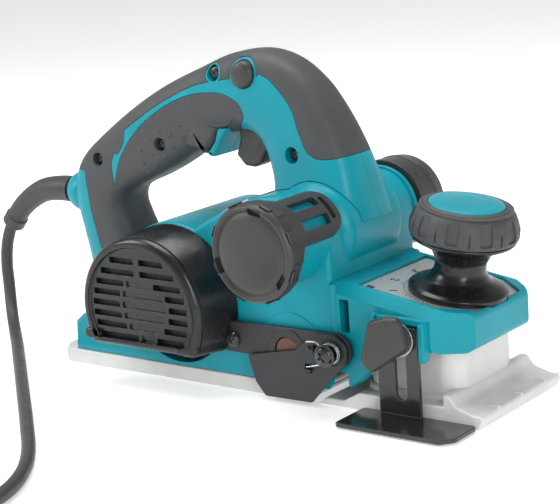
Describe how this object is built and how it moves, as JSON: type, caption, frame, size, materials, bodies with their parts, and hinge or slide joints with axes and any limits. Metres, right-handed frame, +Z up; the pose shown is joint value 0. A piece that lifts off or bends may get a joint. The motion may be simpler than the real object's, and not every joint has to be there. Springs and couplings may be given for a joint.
{
  "type": "electric hand planer",
  "caption": "Corded electric hand planer with a D-handle over a transverse motor, a belt-driven cutter drum, a front depth knob and a two-way chip duct.",
  "frame": {"origin": "centre of the sole, on the plane that the sole rests on", "axes": "+X forward, from the rear base to the front shoe and its depth knob; +Y to the user's left, the belt side; +Z up from the sole"},
  "size_m": [0.3762, 0.3971, 0.1846],
  "materials": {
    "teal_plastic": "satin",
    "soft_rubber": "matte, fine grained",
    "black_plastic": "semi-gloss",
    "dark_plastic": "satin, fine grained",
    "cast_aluminium": "satin painted casting, machined sole",
    "bright_steel": "turned and ground",
    "black_steel": "glossy black coating",
    "copper": "bright",
    "scale_metal": "satin printed plate",
    "belt_rubber": "matte",
    "carbon": "matte",
    "cord_rubber": "satin"
  },
  "bodies": {
    "planer": {"rear_base": "cast_aluminium", "main_housing": "teal_plastic", "scale_plate": "scale_metal", "nameplate": "scale_metal", "vent_cover": "black_plastic", "belt_cover": "black_plastic", "duct_nozzle": "dark_plastic", "drum_bearing_right": "copper", "drum_bearing_left": "bright_steel", "drive_belt": "belt_rubber", "stator": "bright_steel", "motor_bearing_right": "bright_steel", "motor_bearing_left": "bright_steel", "fan_baffle": "dark_plastic", "brush_holder_upper": "copper", "carbon_brush_upper": "carbon", "brush_holder_lower": "copper", "carbon_brush_lower": "carbon", "handle_shell_right": "teal_plastic", "handle_shell_left": "teal_plastic", "soft_grip": "soft_rubber", "switch_body": "dark_plastic", "handle_screw_rear": "black_steel", "handle_screw_middle": "black_steel", "handle_screw_front": "black_steel", "handle_screw_top": "black_steel", "guard_arm": "black_steel", "guard_arm_screw": "black_steel", "guard_spring": "bright_steel", "guard_pivot_screw": "black_steel", "cord_guard": "cord_rubber", "cord": "cord_rubber", "cord_coil": "cord_rubber", "coil_tie": "black_plastic", "plug": "cord_rubber"},
    "front_shoe": {"front_base": "cast_aluminium"},
    "depth_knob": {"knob_body": "black_plastic", "knob_grip": "soft_rubber", "knob_cap": "teal_plastic", "knob_spindle": "bright_steel"},
    "cutter": {"cutter_drum": "bright_steel", "blade_one": "bright_steel", "blade_two": "bright_steel", "blade_clamp_one": "bright_steel", "blade_clamp_two": "bright_steel", "driven_pulley": "bright_steel"},
    "rotor": {"armature_core": "bright_steel", "motor_shaft": "bright_steel", "commutator": "copper", "cooling_fan": "dark_plastic", "drive_pulley": "bright_steel"},
    "trigger_lever": {"trigger": "dark_plastic"},
    "lock_button": {"lock_off_button": "dark_plastic"},
    "side_guard": {"blade_guard": "black_steel"},
    "depth_stop": {"depth_guide": "black_steel"},
    "clamp_wing": {"wing_screw": "dark_plastic"},
    "chip_cap": {"duct_cap": "dark_plastic"}
  },
  "joints": [
    {"name": "knob_turn", "type": "hinge", "parent": "planer", "child": "depth_knob", "pos_m": [0.1112, 0, 0.0633], "axis": [0.1582, 0, 0.9874], "range_deg": [0, 330]},
    {"name": "shoe_raise", "type": "slide", "parent": "planer", "child": "front_shoe", "axis": [0.1582, 0, 0.9874], "range_m": [0, 0.004]},
    {"name": "cutter_spin", "type": "hinge", "parent": "planer", "child": "cutter", "pos_m": [0.03, 0, 0.0286], "axis": [0, 1, 0], "continuous": true},
    {"name": "rotor_spin", "type": "hinge", "parent": "planer", "child": "rotor", "pos_m": [-0.05, 0, 0.047], "axis": [0, 1, 0], "continuous": true},
    {"name": "trigger_squeeze", "type": "hinge", "parent": "planer", "child": "trigger_lever", "pos_m": [-0.0035, 0, 0.141], "axis": [0, 1, 0], "range_deg": [0, 9], "stiffness_Nm_per_rad": 0.4, "springref_deg": -11.46},
    {"name": "lock_press", "type": "slide", "parent": "planer", "child": "lock_button", "axis": [0, 1, 0], "range_m": [0, 0.004], "stiffness_N_per_m": 400, "springref_m": -0.003},
    {"name": "guard_swing", "type": "hinge", "parent": "planer", "child": "side_guard", "pos_m": [0.0615, -0.0475, 0.0326], "axis": [0, 1, 0], "range_deg": [0, 40], "stiffness_Nm_per_rad": 0.04, "springref_deg": -28.65},
    {"name": "guide_slide", "type": "slide", "parent": "planer", "child": "depth_stop", "axis": [0, 0, 1], "range_m": [0, 0.023]},
    {"name": "wing_turn", "type": "hinge", "parent": "planer", "child": "clamp_wing", "pos_m": [0.102, -0.05, 0.044], "axis": [0, 1, 0], "range_deg": [0, 110]},
    {"name": "cap_pull", "type": "slide", "parent": "planer", "child": "chip_cap", "axis": [0, -1, 0], "range_m": [0, 0.04]}
  ],
  "couplings": [
    {"joint": "shoe_raise", "follows": "knob_turn", "m_per_rad": 0.000694},
    {"joint": "rotor_spin", "follows": "cutter_spin", "ratio": 1.6364}
  ]
}
